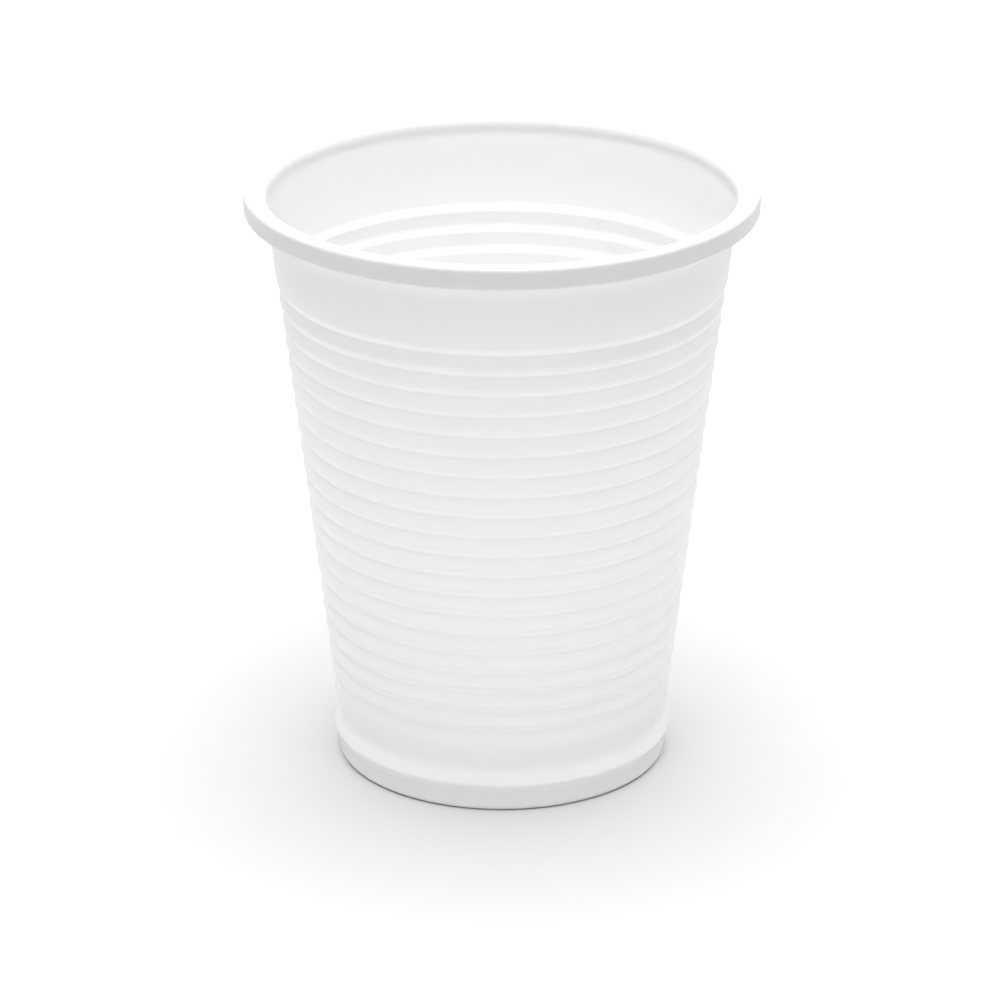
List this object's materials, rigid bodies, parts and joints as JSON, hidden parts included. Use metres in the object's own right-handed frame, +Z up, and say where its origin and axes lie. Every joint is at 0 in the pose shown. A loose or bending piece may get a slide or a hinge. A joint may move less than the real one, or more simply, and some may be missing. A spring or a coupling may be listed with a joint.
{
  "type": "plastic cup",
  "caption": "Disposable drinking cup formed from one thin white plastic sheet, with a rolled rim, a plain neck, ribbed tapering sides and a raised base on a foot ring.",
  "frame": {"origin": "centre of the foot ring's underside, on the surface the cup stands on", "axes": "+Z up along the cup's axis; the cup is round, so +X and +Y are any two directions across it"},
  "size_m": [0.0702, 0.0702, 0.0831],
  "materials": {
    "cup_plastic": "satin white, slightly translucent"
  },
  "bodies": {
    "root": {"cup": "cup_plastic"}
  },
  "joints": []
}
